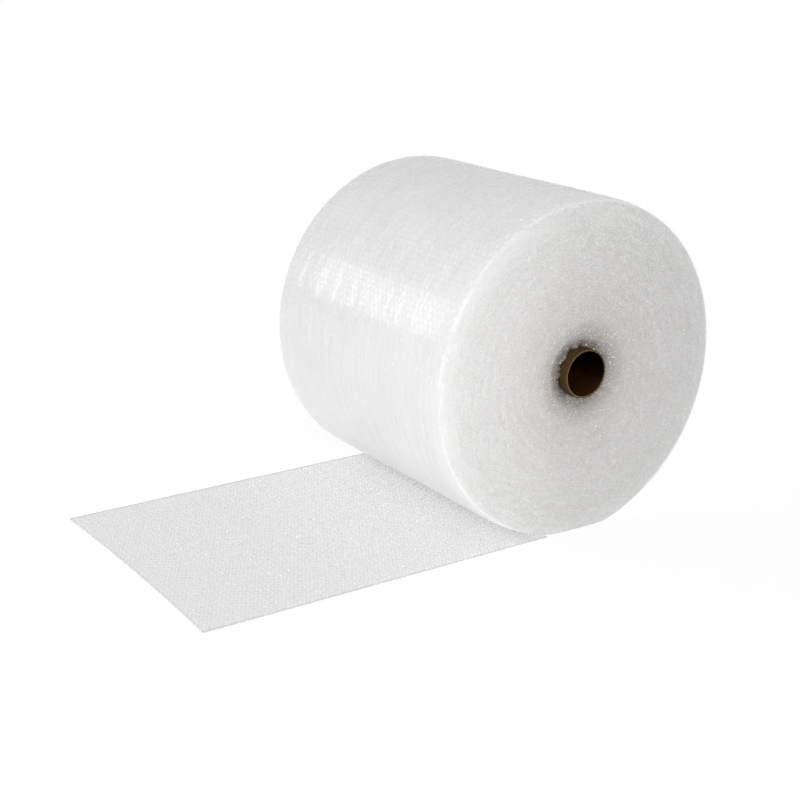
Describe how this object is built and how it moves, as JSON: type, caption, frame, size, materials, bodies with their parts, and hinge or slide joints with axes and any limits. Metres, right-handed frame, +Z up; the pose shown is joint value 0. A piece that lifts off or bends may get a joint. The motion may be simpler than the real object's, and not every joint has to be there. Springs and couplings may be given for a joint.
{
  "type": "bubble wrap roll",
  "caption": "Large roll of small-bubble wrap on a cardboard core, lying on its side with its free end rolled out flat.",
  "frame": {"origin": "on the floor, under the middle of the roll's axis, on the flat underside of the film", "axes": "+Z up, Y along the roll's axis and its cardboard core, the free end runs out towards -X"},
  "size_m": [0.9775, 0.516, 0.5585],
  "materials": {
    "bubble_film": "clear polyethylene bubble film, white in the mass, with a soft gloss",
    "cardboard": "brown wound paper tube, matte"
  },
  "bodies": {
    "root": {"bubble_wrap": "bubble_film", "cardboard_core": "cardboard"}
  },
  "joints": []
}
